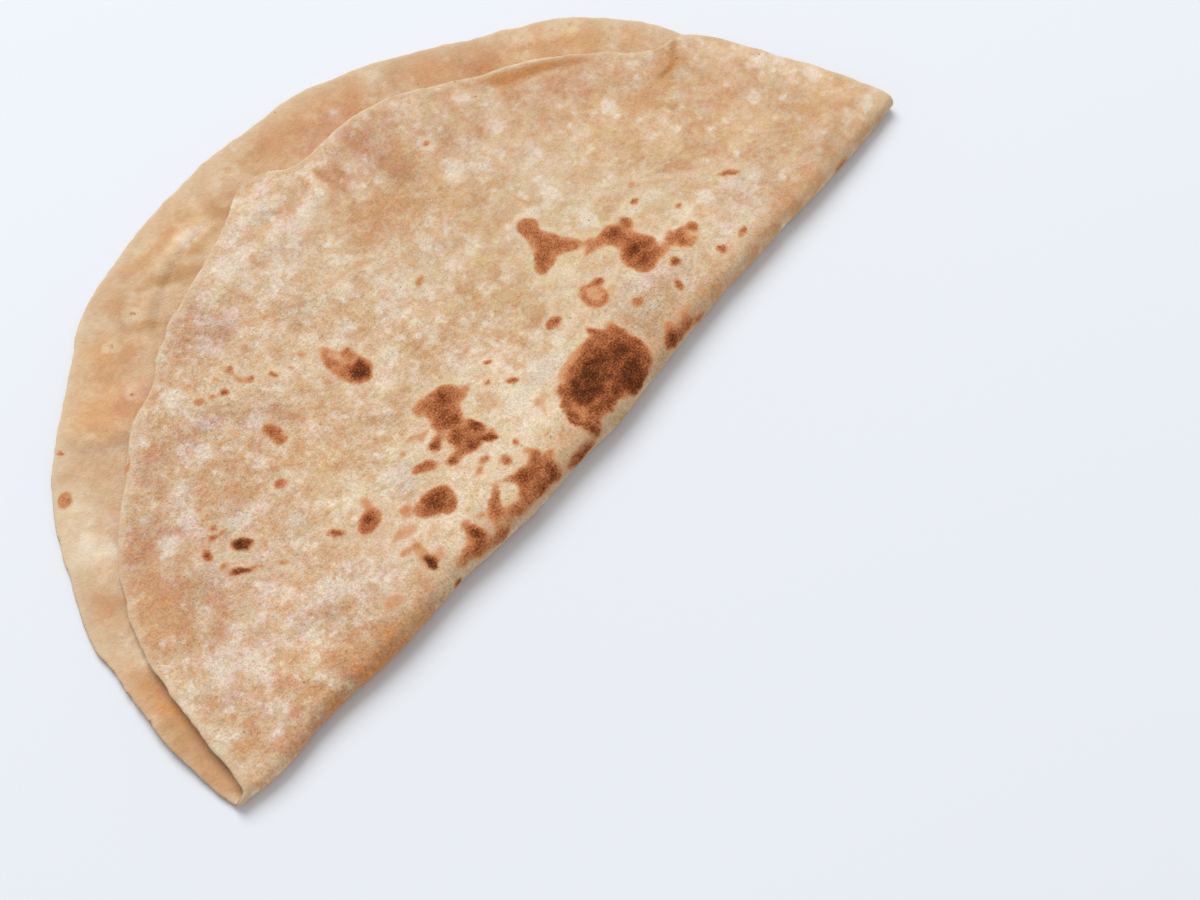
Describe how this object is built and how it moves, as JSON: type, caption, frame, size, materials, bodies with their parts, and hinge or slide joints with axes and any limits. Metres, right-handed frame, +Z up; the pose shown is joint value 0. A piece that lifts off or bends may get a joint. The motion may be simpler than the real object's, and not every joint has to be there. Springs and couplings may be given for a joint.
{
  "type": "chapati flatbread",
  "caption": "Soft griddle-baked flatbread folded in half and lying flat, with a rounded fold, thin uneven rims and dark char spots.",
  "frame": {"origin": "under the middle of the folded bread's box, on the surface that it lies on", "axes": "+X along the fold, +Y from the fold towards the round edge, +Z up through both layers"},
  "size_m": [0.2198, 0.1164, 0.0074],
  "materials": {
    "baked_dough": "matte"
  },
  "bodies": {
    "root": {"folded_chapati": "baked_dough"}
  },
  "joints": []
}
